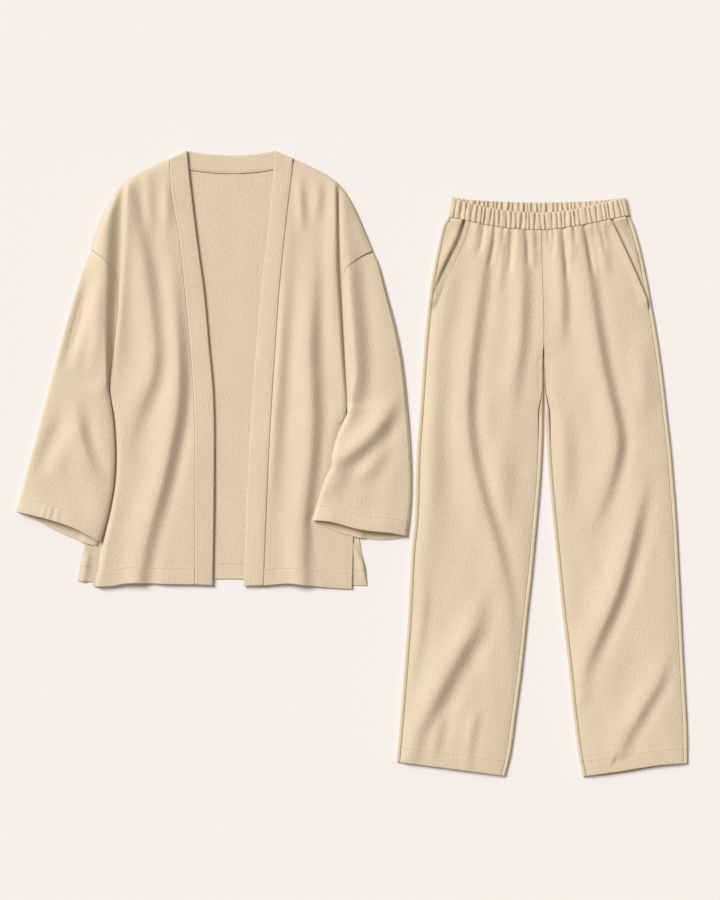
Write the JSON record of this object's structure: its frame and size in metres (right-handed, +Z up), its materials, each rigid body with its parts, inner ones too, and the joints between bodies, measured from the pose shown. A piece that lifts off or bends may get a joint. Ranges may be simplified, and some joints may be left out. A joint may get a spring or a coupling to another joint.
{
  "type": "trouser set",
  "caption": "Open-fronted jacket with wide sleeves and a long band, laid flat beside gathered-waist straight trousers with slanted pockets.",
  "frame": {"origin": "middle of the set's bounding box, on the surface it lies on", "axes": "+X to the right as seen from above with the necks away, +Y towards the neck and the waist, +Z up off the surface"},
  "size_m": [1.1534, 1.0757, 0.0187],
  "materials": {
    "jacket_cloth": "matt plain-weave linen and cotton, sand colour",
    "trouser_cloth": "matt plain-weave linen and cotton, sand colour",
    "pocket_cloth": "the trousers' cloth, seen beside the pocket mouths"
  },
  "bodies": {
    "root": {"jacket_back": "jacket_cloth", "jacket_band": "jacket_cloth", "jacket_front_left": "jacket_cloth", "jacket_front_right": "jacket_cloth", "jacket_sleeve_left": "jacket_cloth", "jacket_sleeve_right": "jacket_cloth", "pocket_facing_left": "pocket_cloth", "pocket_facing_right": "pocket_cloth", "trousers_back_left": "trouser_cloth", "trousers_back_right": "trouser_cloth", "trousers_front_left": "trouser_cloth", "trousers_front_right": "trouser_cloth", "trousers_waistband": "trouser_cloth"}
  },
  "joints": []
}
